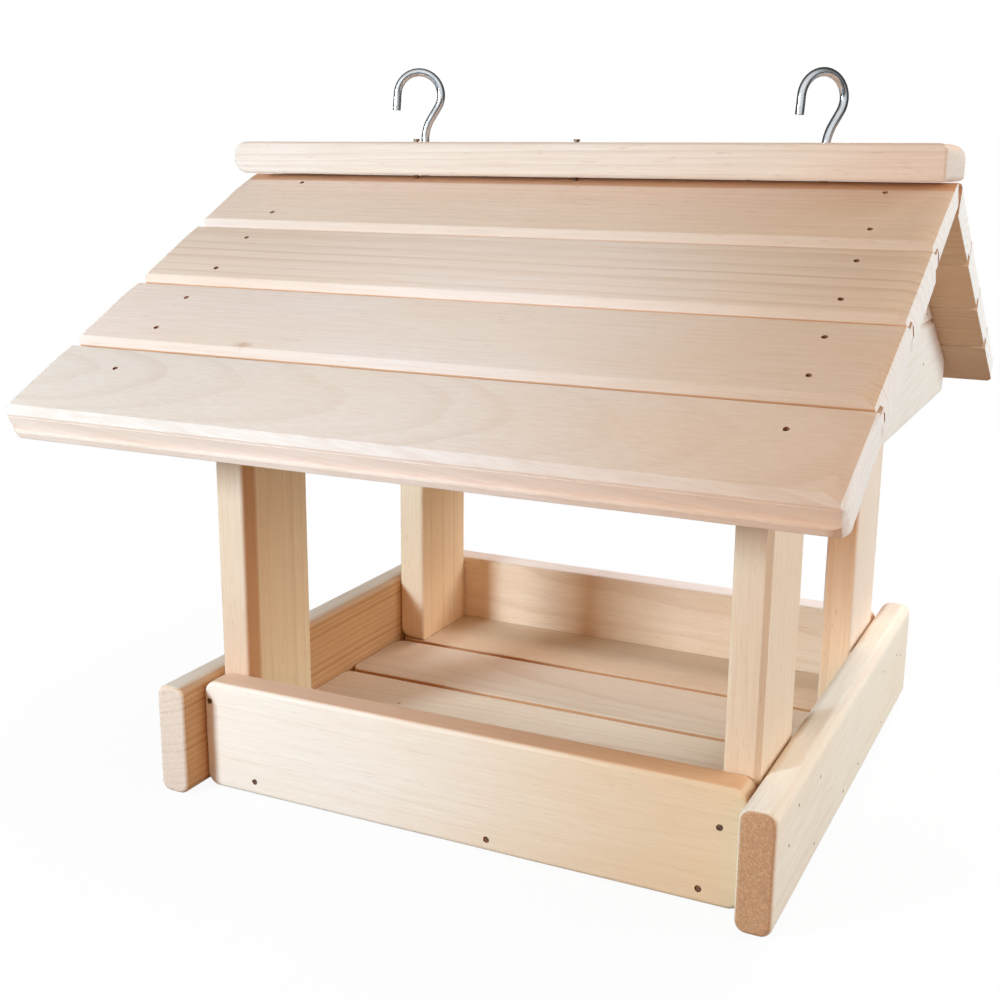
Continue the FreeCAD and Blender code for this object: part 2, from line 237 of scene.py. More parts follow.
def sand(bm, grain, seed):
    """Lowers the surface here and there, in long shallow hollows along the grain."""
    depth = settings().feeder_sizes.unevenness
    stretch = Vector((HOLLOWS_ACROSS,) * 3)
    stretch[grain] = HOLLOWS_ALONG
    bm.normal_update()
    shift = Vector((seed * 3.7, seed * 1.9, seed * 5.3))
    for vert in bm.verts:
        place = Vector(a * b for a, b in zip(vert.co, stretch)) + shift
        vert.co -= vert.normal * depth * (0.5 + 0.5 * noise.noise(place))


# Nails and their pits

def islands(bm):
    """Sets of corners that hang together, one for each nail."""
    left = set(bm.verts)
    while left:
        found = {left.pop()}
        reached = list(found)
        while reached:
            vert = reached.pop()
            for edge in vert.link_edges:
                other = edge.other_vert(vert)
                if other in left:
                    left.discard(other)
                    found.add(other)
                    reached.append(other)
        yield found


def end_ring(points, axis):
    """Centre and radius of the outermost ring of points."""
    top = max(point.dot(axis) for point in points)
    ring = [point for point in points if top - point.dot(axis) < RIM_DEPTH]
    centre = sum(ring, Vector()) / len(ring)
    return centre, max((point - centre).length for point in ring)


def nail_places(node):
    """Middle of each nail's head, and the way the nail points."""
    bm = bmesh.new()
    bm.from_mesh(frame["nodes"][node].data)
    bmesh.ops.remove_doubles(bm, verts=bm.verts, dist=TOUCH)
    places = []
    for island in islands(bm):
        points = [vert.co.copy() for vert in island]
        first = points[0]
        far = max(points, key=lambda point: (point - first).length)
        near = max(points, key=lambda point: (point - far).length)
        axis = (far - near).normalized()
        for turn in range(3):
            a, radius_a = end_ring(points, axis)
            b, radius_b = end_ring(points, -axis)
            axis = (a - b).normalized()
        places.append((a, b - a) if radius_a > radius_b else (b, a - b))
    bm.free()
    return sorted(((head, tip.normalized()) for head, tip in places), key=lambda item: tuple(item[0]))


def tool_at(bm, point, inward, below, above, radii, sides):
    """Adds a round cutter from below a point to above it."""
    turn = (-inward).to_track_quat("Z", "Y").to_matrix().to_4x4()
    middle = point - inward * (above - below) / 2
    bmesh.ops.create_cone(bm, cap_ends=True, segments=sides, radius1=radii[0], radius2=radii[1],
                          depth=above + below, matrix=Matrix.Translation(middle) @ turn)


def pit_tool(node, scale):
    """One cutter for the ragged pits above a node's nails."""
    mouth = settings().feeder_sizes.pit_mouth * scale
    bm = bmesh.new()
    for head, inward in nail_places(node):
        tool_at(bm, head, inward, PIT_BELOW, PIT_ABOVE, (mouth * PIT_FOOT, mouth * PIT_TOP), PIT_SIDES)
    for vert in bm.verts:
        vert.co += noise.noise_vector(vert.co * PIT_FINENESS) * mouth * PIT_RAGGED
    return bm


def place_object(name, data):
    placed = bpy.data.objects.new(name, data)
    bpy.context.scene.collection.objects.link(placed)
    return placed


def as_mesh(bm, name, materials):
    mesh = bpy.data.meshes.new(name)
    bm.to_mesh(mesh)
    bm.free()
    for material in materials:
        mesh.materials.append(material)
    return mesh


def cut_with(piece, bm, material):
    """Cuts a piece with a tool's mesh, whose material stays on the cut, and drops corners of two edges."""
    tool = place_object("tool", as_mesh(bm, "tool", [material]))
    modifier = piece.modifiers.new("Cut", "BOOLEAN")
    modifier.object = tool
    modifier.operation = "DIFFERENCE"
    modifier.solver = "EXACT"
    modifier.material_mode = "TRANSFER"
    graph = bpy.context.evaluated_depsgraph_get()
    mesh = bpy.data.meshes.new_from_object(piece.evaluated_get(graph), depsgraph=graph)
    piece.modifiers.clear()
    clean = bmesh.new()
    clean.from_mesh(mesh)
    bmesh.ops.dissolve_verts(clean, verts=[vert for vert in clean.verts if len(vert.link_edges) == 2])
    clean.to_mesh(mesh)
    clean.free()
    old, piece.data = piece.data, mesh
    mesh.name = piece.name
    bpy.data.meshes.remove(old)
    used = tool.data
    bpy.data.objects.remove(tool)
    bpy.data.meshes.remove(used)


def finish_piece(bm, node, material, cuts=()):
    """Turns a board's mesh into a piece that stands for its node, with its cuts made."""
    name = node + "_sanded"
    piece = place_object(name, as_mesh(bm, name, [material]))
    for tool in cuts:
        cut_with(piece, tool, pit_material())
    mesh = piece.data
    mesh.polygons.foreach_set("use_smooth", [True] * len(mesh.polygons))
    mesh.set_sharp_from_angle(angle=SHARP)
    weighted = piece.modifiers.new("Even shading", "WEIGHTED_NORMAL")
    weighted.keep_sharp = True
    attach(piece, BODY)
    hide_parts(node)


# Material helpers

class Nodes:
    """Short way to place and join nodes in one tree."""

    def __init__(self, tree):
        self.tree = tree

    def feed(self, node, inputs):
        for key, value in inputs.items():
            if isinstance(value, bpy.types.NodeSocket):
                self.tree.links.new(value, node.inputs[key])
            else:
                node.inputs[key].default_value = value

    def add(self, kind, inputs=None, **options):
        """Places a node, feeds its inputs and gives its outputs."""
        node = self.tree.nodes.new(kind)
        for key, value in options.items():
            setattr(node, key, value)
        self.feed(node, inputs or {})
        return node.outputs

    def math(self, operation, a, b=0.0):
        return self.add("ShaderNodeMath", {0: a, 1: b}, operation=operation)[0]

    def times(self, a, b):
        return self.math("MULTIPLY", a, b)

    def plus(self, a, b):
        return self.math("ADD", a, b)

    def vector(self, operation, a, b=(0, 0, 0)):
        return self.add("ShaderNodeVectorMath", {0: a, 1: b}, operation=operation)

    def scaled(self, vector, factors):
        return self.vector("MULTIPLY", vector, factors)[0]

    def length(self, vector):
        return self.vector("LENGTH", vector)["Value"]

    def dot(self, a, b):
        return self.vector("DOT_PRODUCT", a, b)["Value"]

    def split(self, vector):
        return self.add("ShaderNodeSeparateXYZ", {0: vector})

    def noise(self, vector, detail=2.0, roughness=0.5):
        values = {"Vector": vector, "Scale": 1.0, "Detail": detail, "Roughness": roughness}
        return self.add("ShaderNodeTexNoise", values)[0]

    def wobble(self, vector):
        """Noise around zero."""
        return self.math("SUBTRACT", self.noise(vector), 0.5)

    def step(self, value, low, high, to_low=0.0, to_high=1.0):
        values = {"Value": value, "From Min": low, "From Max": high, "To Min": to_low, "To Max": to_high}
        return self.add("ShaderNodeMapRange", values, interpolation_type="SMOOTHSTEP")[0]

    def mix(self, share, a, b, blend="MIX"):
        return self.add("ShaderNodeMix", {0: share, 6: a, 7: b}, data_type="RGBA", blend_type=blend)[2]

    def bump(self, height, strength, distance):
        return self.add("ShaderNodeBump", {"Height": height, "Strength": strength, "Distance": distance})[0]

    def blend_shaders(self, share, a, b):
        return self.add("ShaderNodeMixShader", {0: share, 1: a, 2: b})[0]


def shared_group(name, vectors, values, fill):
    """A node group that is built once, by a function that takes its inputs and gives its outputs."""
    group = bpy.data.node_groups.get(name)
    if group is None:
        group = bpy.data.node_groups.new(name, "ShaderNodeTree")
        nodes = Nodes(group)
        for labels, kind in ((vectors, "NodeSocketVector"), (values, "NodeSocketFloat")):
            for label in labels:
                group.interface.new_socket(label, in_out="INPUT", socket_type=kind)
        made = fill(nodes, nodes.add("NodeGroupInput"))
        for label in made:
            group.interface.new_socket(label, in_out="OUTPUT", socket_type="NodeSocketFloat")
        nodes.feed(group.nodes.new("NodeGroupOutput"), made)
    return group


def growth_nodes(nodes, given):
    """Growth rings around the pith, fibres, resin flecks and clouds of tone along the grain."""
    grain, width = given["Grain"], given["Ring width"]
    slow = nodes.wobble(nodes.scaled(grain, (5, 20, 20)))
    quick = nodes.wobble(nodes.scaled(grain, (16, 75, 75)))
    drift = nodes.times(nodes.plus(slow, nodes.times(quick, 0.16)), given["Wander"])
    radius = nodes.plus(nodes.length(nodes.scaled(grain, (0, 1, 1))), drift)
    years = nodes.add("ShaderNodeTexNoise", {"W": nodes.times(radius, 85.0), "Scale": 1.0},
                      noise_dimensions="1D")[0]
    uneven = nodes.times(nodes.math("SUBTRACT", years, 0.5), nodes.times(width, 2.0))
    phase = nodes.math("DIVIDE", nodes.plus(radius, uneven), width)
    turn = nodes.math("FRACT", phase)
    rise = nodes.step(turn, 0.25, 0.94)
    drop = nodes.step(turn, 0.95, 1.0, 1.0, 0.0)
    year = nodes.add("ShaderNodeTexWhiteNoise", {"W": nodes.math("FLOOR", phase)},
                     noise_dimensions="1D")["Value"]
    depth = nodes.step(year, 0.0, 1.0, 0.35, 1.0)
    fleck = nodes.noise(nodes.scaled(grain, (150, 1300, 1300)), 1.0)
    return {
        "Latewood": nodes.times(nodes.times(nodes.math("POWER", rise, 2.4), drop), depth),
        "Fibre": nodes.noise(nodes.scaled(grain, (38, 1500, 1500)), 3.0, 0.62),
        "Fleck": nodes.step(fleck, 0.66, 0.76),
        "Cloud": nodes.noise(nodes.scaled(grain, (8, 26, 26)), 3.0),
    }


def end_nodes(nodes, given):
    """Where the wood is cut across the grain, and the open cells that show there."""
    slant = nodes.math("ABSOLUTE", nodes.dot(given["Normal"], given["Grain way"]))
    cells = nodes.noise(nodes.scaled(given["Place"], (1500, 1500, 1500)), 3.0, 0.65)
    return {
        "Mask": nodes.step(slant, 0.62, 0.9),
        "Facet": nodes.times(nodes.step(slant, 0.2, 0.45), nodes.step(slant, 0.75, 0.95, 1.0, 0.0)),
        "Cells": nodes.step(cells, 0.35, 0.68),
    }


def face_nodes(nodes, given):
    """Masks for painted light and shade: where the wood looks one way, and a slow change from one place to
    another along X.
    """
    return {
        "Facing": nodes.step(nodes.dot(given["Normal"], given["Way"]), 0.8, 0.95),
        "Fade": nodes.step(nodes.split(given["Place"])[0], given["Start"], given["Stop"]),
    }


def shader(name):
    material = bpy.data.materials.new(name)
    material.use_nodes = True
    return material, Nodes(material.node_tree), material.node_tree.nodes["Principled BSDF"]


def tint(colour, factors):
    return tuple(min(1.0, value * factor) for value, factor in zip(colour, factors)) + (1.0,)


def pine(name, centre, grain=0, lean=0.0, ring=0.003, wander=0.004, pith=(0.06, -0.03), tilt=(0.0, 0.0),
         contrast=0.3, tone=WHITE, end=WHITE, cells=0.35, facet=0.0, fleck=0.25, band_and_shade=None, mark=None,
         faces=(), fades=()):
    """Pine for one board.

    The grain runs along one axis through the board's centre. The pith lies beside it, across the
    width and the thickness, and tilts in these two directions. Lean turns the whole board about X.
    Faces that look one way can have a tone of their own, painted light and shade, and the tone can fade along
    X.
    """
    finish = settings().feeder_finish
    material, nodes, bsdf = shader(name)
    place = nodes.add("ShaderNodeTexCoord")
    to_grain = (Euler((0, 0, 0)), Euler((0, 0, -math.pi / 2)), Euler((0, math.pi / 2, 0)))[grain]
    turn = Euler((0, tilt[1], tilt[0])).to_matrix() @ to_grain.to_matrix() @ Euler((-lean, 0, 0)).to_matrix()
    shift = Vector((0, -pith[0], -pith[1])) - turn @ Vector(centre)
    mapped = nodes.add("ShaderNodeMapping", {"Vector": place["Object"], "Location": shift,
                                             "Rotation": turn.to_euler()})[0]
    group = shared_group("Pine growth", ("Grain",), ("Ring width", "Wander"), growth_nodes)
    growth = nodes.add("ShaderNodeGroup", node_tree=group, inputs={
        "Grain": mapped, "Ring width": ring, "Wander": wander})
    group = shared_group("End grain", ("Normal", "Grain way", "Place"), (), end_nodes)
    ends = nodes.add("ShaderNodeGroup", node_tree=group, inputs={
        "Normal": place["Normal"], "Place": place["Object"], "Grain way": turn.inverted() @ X})
    late, fibre = growth["Latewood"], growth["Fibre"]
    pale, dark = tint(finish.sapwood, tone), tint(finish.latewood, tone)
    colour = nodes.mix(nodes.times(late, contrast), pale, dark)
    warm = nodes.step(growth["Cloud"], 0.35, 0.75, 0.0, 0.5)
    colour = nodes.mix(warm, colour, tint(pale, (0.97, 0.90, 0.80)))
    colour = nodes.mix(nodes.step(fibre, 0.3, 0.7, 0.0, 0.25), colour, tint(dark, (1.2, 1.22, 1.25)))
    specks = nodes.times(growth["Fleck"], fleck)
    colour = nodes.mix(specks, colour, tint(finish.latewood, (0.8, 0.75, 0.7)))
    for way, factors in faces:
        colour = add_tone(nodes, place, colour, "Facing", factors, {"Way": way})
    for start, stop, factors in fades:
        colour = add_tone(nodes, place, colour, "Fade", factors, {"Start": start, "Stop": stop})
    if band_and_shade:
        colour = add_band_and_shade(nodes, mapped, colour, band_and_shade[0] - pith[0], band_and_shade[1] - pith[0], band_and_shade[2])
    if mark:
        colour = add_mark(nodes, place["Object"], colour, *mark)
    pale_end, dark_end = tint(finish.end_grain, (1.3, 1.5, 1.7)), tint(finish.end_grain, (0.9, 0.85, 0.8))
    colour = nodes.mix(nodes.times(ends["Facet"], facet), colour, nodes.mix(late, pale_end, dark_end))
    open_cells = tint(finish.end_grain, [value * (1 - 0.16 * cells) for value in end])
    shut_cells = tint(finish.end_grain, [value * (1 + share * cells)
                                         for value, share in zip(end, (0.26, 0.36, 0.44))])
    cut = nodes.mix(ends["Cells"], open_cells, shut_cells)
    cut = nodes.mix(nodes.times(late, 0.25), cut, dark)
    height = nodes.plus(nodes.times(late, 0.35 * contrast), nodes.times(fibre, 0.5))
    height = nodes.plus(height, nodes.times(ends["Cells"], 0.25 * cells))
    nodes.feed(bsdf, {
        "Base Color": nodes.mix(nodes.times(ends["Mask"], 0.92), colour, cut),
        "Roughness": nodes.step(fibre, 0.2, 0.8, 0.52, 0.74),
        "Specular IOR Level": 0.35,
        "Normal": nodes.bump(height, 0.5, 0.0002),
    })
    return material


def add_tone(nodes, place, colour, mask, factors, values):
    """Painted light and shade on the faces that look one way, or a tone of the board beyond a fade."""
    group = shared_group("Face and fade", ("Normal", "Way", "Place"), ("Start", "Stop"), face_nodes)
    values = dict(values, Normal=place["Normal"], Place=place["Object"])
    share = nodes.add("ShaderNodeGroup", values, node_tree=group)[mask]
    return nodes.mix(share, colour, tuple(factors) + (1.0,), "MULTIPLY")


def add_band_and_shade(nodes, grain, colour, start, stop, strength):
    """A darker band along the grain, from one place to another across the board: a band in the wood on the
    front left post, painted shade under the ridge lath on the top front slat.
    """
    wave = nodes.times(nodes.wobble(nodes.scaled(grain, (9, 9, 9))), 0.002)
    across = nodes.plus(nodes.split(grain)[1], wave)
    inside = nodes.times(nodes.step(across, start - 0.0012, start + 0.0006),
                         nodes.step(across, stop - 0.0008, stop + 0.002, 1.0, 0.0))
    band = tint(settings().feeder_finish.latewood, (1.12, 0.84, 0.58))
    return nodes.mix(nodes.times(inside, strength), colour, band)


def add_mark(nodes, place, colour, point, length, height, strength):
    """A small brown mark around one point, drawn out along X."""
    off = nodes.scaled(nodes.vector("SUBTRACT", place, point)[0], (1 / length, 1 / height, 1 / height))
    rough = nodes.wobble(nodes.scaled(place, (420, 900, 900)))
    off = nodes.plus(nodes.length(off), nodes.times(rough, 1.1))
    inside = nodes.times(nodes.step(off, 0.25, 1.0, 1.0, 0.0), strength)
    return nodes.mix(inside, colour, tint(settings().feeder_finish.latewood, (0.85, 0.78, 0.72)))


def mottled(name, colour, fineness, detail, span, factors, roughness, metallic=None):
    """Material whose colour, roughness and metal change in patches."""
    material, nodes, bsdf = shader(name)
    place = nodes.add("ShaderNodeTexCoord")["Object"]
    patch = nodes.step(nodes.noise(nodes.scaled(place, (fineness,) * 3), detail), *span)
    nodes.feed(bsdf, {
        "Base Color": nodes.mix(patch, tint(colour, factors[0]), tint(colour, factors[1])),
        "Roughness": nodes.step(patch, 0.0, 1.0, *roughness),
    })
    if metallic:
        nodes.feed(bsdf, {"Metallic": nodes.step(patch, 0.0, 1.0, *metallic)})
    return material


def pit_material():
    """Crushed, darkened wood inside a nail pit."""
    return bpy.data.materials.get("Nail pit") or mottled(
        "Nail pit", settings().feeder_finish.bruise, 1500, 3.0, (0.3, 0.7),
        ((0.5, 0.5, 0.5), (1.9, 1.9, 1.9)), (0.7, 0.95))


def nail_material():
    """Dull, partly rusted steel."""
    return mottled("Nail steel", settings().feeder_finish.nail, 700, 4.0, (0.45, 0.7),
                   (WHITE, (2.4, 1.3, 0.8)), (0.45, 0.85), (0.8, 0.1))


def zinc_material():
    """Bright zinc plating with fine drawing lines and a little spangle."""
    material, nodes, bsdf = shader("Zinc plating")
    place = nodes.add("ShaderNodeTexCoord")["Object"]
    cloud = nodes.noise(nodes.scaled(place, (260, 260, 260)), 4.0, 0.6)
    lines = nodes.noise(nodes.scaled(place, (4200, 4200, 500)))
    bright = settings().feeder_finish.zinc
    dull, fresh = tint(bright, (0.88, 0.89, 0.9)), tint(bright, (1.08, 1.08, 1.08))
    nodes.feed(bsdf, {
        "Base Color": nodes.mix(nodes.step(cloud, 0.3, 0.7), dull, fresh),
        "Metallic": 1.0,
        "Roughness": nodes.step(cloud, 0.25, 0.75, 0.14, 0.22),
        "Normal": nodes.bump(lines, 0.12, 0.00005),
    })
    return material


# Boards

def middle(node):
    low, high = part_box(node)
    return (low + high) / 2


def lath(node, corner, edge):
    """Rounded lath in a node's box, with the axes along and across its grain."""
    low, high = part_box(node)
    size = high - low
    thin, wide, long = sorted(range(3), key=lambda axis: size[axis])
    bm = block(low, high)
    round_edges(bm, [item for item in bm.edges if along(item, thin)], corner, 8)
    round_edges(bm, rim_of(bm, thin), edge, 5)
    return bm, (long, wide)


def edges_near(bm, axis, **place):
    """Edges along one axis whose ends lie at the given x, y or z."""
    return [edge for edge in bm.edges if along(edge, axis)
            and all(abs(getattr(vert.co, name) - value) < NEAR for vert in edge.verts
                    for name, value in place.items())]


def roof_plane(side):
    """Point and outward normal of a slope's underside: side -1 is the front."""
    return Vector((0, 0, APEX)), Vector((0, side * math.sin(PITCH), math.cos(PITCH)))


def make_uneven(bm, axes, loops, seed):
    """Cuts loops at these distances along and across the grain, and sands the board."""
    for axis, spacing in zip(axes, loops):
        slice_along(bm, axis, spacing)
    sand(bm, axes[0], seed)


def complete(bm, node, axes, loops, seed, look, cuts=()):
    """Makes a board uneven and turns it into a piece with its own pine."""
    make_uneven(bm, axes, loops, seed)
    finish_piece(bm, node, pine("Pine " + node, middle(node), axes[0], **look), cuts)


class FEEDER_OT_tray_boards(bpy.types.Operator):
    """Builds the four low boards around the tray"""

    bl_idname = "feeder.tray_boards"
    bl_label = "Tray boards"

    # Face tones here are painted light and shade: tops lighter where light falls, the left board's inner face
    # darker.
    looks = {
        # The front board's top is painted shade under the roof, and its fade is painted shade, darker and
        # warmer towards the right.
        "tray_front_board": dict(
            ring=0.0021, wander=0.006, pith=(0.11, -0.05), contrast=0.11, tone=(1.11, 1.22, 1.43),
            fleck=0.12, fades=[(-0.06, 0.12, (0.935, 0.81, 0.62))], faces=[(Z, (0.97, 0.78, 0.66))]),
        "tray_back_board": dict(
            ring=0.0032, wander=0.012, pith=(0.05, 0.03), tilt=(0.03, 0.02), contrast=0.25,
            tone=(1.1, 1.1, 1.12), faces=[(Z, (1.0, 1.2, 1.5))]),
        "tray_left_board": dict(
            ring=0.0027, wander=0.003, pith=(0.03, 0.11), contrast=0.85, tone=(0.98, 0.9, 0.8),
            end=(1.22, 1.57, 2.24), cells=0.3, faces=[(X, (0.91, 0.76, 0.58)), (Z, (1.1, 1.4, 1.9))]),
        "tray_right_board": dict(
            ring=0.004, wander=0.006, pith=(-0.05, -0.06), tilt=(0.02, 0.03), contrast=0.14,
            tone=(1.09, 1.22, 1.37), end=(0.92, 0.77, 0.62), cells=0.9, fleck=0.15,
            faces=[(Z, (1.05, 1.12, 1.17))]),
    }
    loops = (0.009, 0.008)
    # Sizes of the nail pits in the side boards and in the front and back boards.
    side_pits, long_pits = 0.7, 1.35
    # The facet at the front board's right upper corner: how far it reaches along X, and the way it looks.
    facet_reach, facet_way = X * 0.0034, Vector((0.78, -0.4, 0.48))

    def execute(self, context):
        sizes = context.scene.feeder_sizes
        for number, (node, look) in enumerate(self.looks.items(), 1):
            low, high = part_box(node)
            if node in ("tray_left_board", "tray_right_board"):
                bm, axes = self.side_board(sizes, low, high)
                pits = pit_tool("tray_nails", self.side_pits)
            else:
                bm, axes = lath(node, sizes.board_corner, sizes.board_edge)
                pits = pit_tool("tray_nails", self.long_pits)
            if node == "tray_front_board":
                pare(bm, Vector((high.x, low.y, high.z)) - self.facet_reach, self.facet_way)
            complete(bm, node, axes, self.loops, number, look, [pits])
        return {"FINISHED"}

    def side_board(self, sizes, low, high):
        """Board with well rounded long edges and sanded ends."""
        bm = block(low, high)
        round_edges(bm, [edge for edge in bm.edges if along(edge, 1)], sizes.side_edge, 7)
        round_edges(bm, rim_of(bm, 1), sizes.side_end, 4)
        return bm, (1, 2)


class FEEDER_OT_floor_slats(bpy.types.Operator):
    """Builds the laths of the tray's floor"""

    bl_idname = "feeder.floor_slats"
    bl_label = "Floor slats"

    piths = ((0.07, -0.04), (-0.03, -0.05), (0.015, -0.045), (-0.08, -0.03))
    tones = ((1.18, 1.13, 0.9), (1.1, 1.21, 1.33), (0.96, 1.03, 1.11), (0.97, 0.99, 1.0))
    # Painted shade on the slats' long sawn edges, where the gaps between them fall into shade.
    gap_shade = (0.85, 0.56, 0.36)
    loops = (0.009, 0.008)
    # Brown mark on top of the second slat: its x and y, then its length, width and strength.
    mark_place, mark = (-0.07, -0.0268), (0.0017, 0.0012, 0.95)

    def execute(self, context):
        sizes = context.scene.feeder_sizes
        for number, (pith, tone) in enumerate(zip(self.piths, self.tones), 1):
            node = "floor_slat_%d" % number
            bm, axes = lath(node, sizes.board_corner, sizes.floor_edge)
            look = dict(ring=0.0034, wander=0.007, pith=pith, tilt=(0.01 * number - 0.025, 0.03),
                        contrast=0.26, tone=tone, fleck=0.15,
                        faces=[(-Y, self.gap_shade), (Y, self.gap_shade)])
            if number == 2:
                look["mark"] = (Vector((*self.mark_place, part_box(node)[1].z)), *self.mark)
            complete(bm, node, axes, self.loops, number + 10, look)
        return {"FINISHED"}


class FEEDER_OT_posts(bpy.types.Operator):
    """Builds the four posts, rounded at the foot and cut to the roof's slope at the top"""

    bl_idname = "feeder.posts"
    bl_label = "Posts"

    # Each face tone here is painted light on one side of a post; the front left post's band is a band in the
    # wood.
    looks = {
        "post_front_left": dict(
            ring=0.0075, pith=(-0.09, 0.02), tone=(0.92, 0.9, 0.92),
            band_and_shade=(-0.0222, -0.0155, 0.75), faces=[(X, (1.27, 1.35, 1.21))]),
        "post_front_right": dict(ring=0.0045, pith=(0.08, 0.04), contrast=0.2),
        "post_back_left": dict(
            ring=0.006, pith=(0.1, 0.03), tone=(1.06, 1.05, 1.03),
            faces=[(X, (1.11, 1.06, 0.93))]),
        "post_back_right": dict(
            ring=0.005, pith=(-0.1, 0.02), contrast=0.28, tone=(1.05, 1.09, 1.2),
            faces=[(-Y, (1.09, 0.98, 0.82))]),
    }
    loops = (0.009, 0.01)

    def execute(self, context):
        sizes = context.scene.feeder_sizes
        for number, (node, look) in enumerate(self.looks.items(), 20):
            low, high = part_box(node)
            bm = block(low, high)
            outer = high.x if "right" in node else low.x
            round_edges(bm, edges_near(bm, 1, x=outer, z=low.z), sizes.post_foot, 7)
            rims = [edge for edge in rim_of(bm, 1) if edge.calc_face_angle() > SQUARE
                    and min(vert.co.z for vert in edge.verts) < high.z - NEAR]
            round_edges(bm, rims, sizes.post_edge, 4)
            if node == "post_front_right":
                pare(bm, Vector((high.x, low.y + sizes.post_chamfer, 0)), (X - Y).normalized())
            pare(bm, *roof_plane(-1 if "front" in node else 1))
            complete(bm, node, (2, 1), self.loops, number, dict(look, wander=0.003))
        return {"FINISHED"}


class FEEDER_OT_gables(bpy.types.Operator):
    """Builds the two boards of each gable, with their chamfered joint"""

    bl_idname = "feeder.gables"
    bl_label = "Gables"

    lower_look = dict(ring=0.0038, wander=0.008, pith=(0.02, -0.05), tilt=(0.02, 0.05), contrast=0.16,
                      tone=(1.03, 1.18, 1.42))
    upper_look = dict(wander=0.008, pith=(-0.07, -0.04), contrast=0.18, tone=(1.03, 1.17, 1.4))
    loops = (0.01, 0.009)
    pits = 0.7

    def execute(self, context):
        sizes = context.scene.feeder_sizes
        for side, out in (("right", 1), ("left", -1)):
            for name, board, seed, look in (("gable_lower_", self.lower_board, 31, self.lower_look),
                                            ("gable_upper_", self.upper_board, 34, self.upper_look)):
                bm = board(sizes, name + side, out)
                pits = pit_tool("gable_nails", self.pits)
                complete(bm, name + side, (1, 2), self.loops, seed + out, look, [pits])
        return {"FINISHED"}

    def board(self, sizes, node, out, outline):
        low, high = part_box(node)
        bm = extruded([Vector((low.x, y, z)) for y, z in outline], Vector((high.x - low.x, 0, 0)))
        joint = edges_near(bm, 1, x=high.x if out > 0 else low.x, z=JOINT)
        if not joint:
            raise RuntimeError("no joint edge found on " + node)
        round_edges(bm, joint, sizes.gable_joint, 1)
        return bm

    def lower_board(self, sizes, node, out):
        low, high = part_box(node)
        shoulder = APEX - high.y * math.tan(PITCH)
        half = GABLE_TOP[1].y
        bm = self.board(sizes, node, out, [(low.y, low.z), (high.y, low.z), (high.y, shoulder), (half, JOINT),
                                           (-half, JOINT), (low.y, shoulder)])
        soft = [edge for edge in bm.edges if max(vert.co.z for vert in edge.verts) < low.z + TOUCH]
        round_edges(bm, soft, sizes.gable_edge, 4)
        for y, end in ((low.y, -Y), (high.y, Y)):
            sand_arris(bm, Vector((low.x, y, low.z)), Vector((high.x, y, low.z)), end, -Z,
                       sizes.gable_corner, sizes.gable_corner)
        return bm

    def upper_board(self, sizes, node, out):
        low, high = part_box(node)
        return self.board(sizes, node, out, [(low.y, low.z), (high.y, low.z), (0, high.z)])


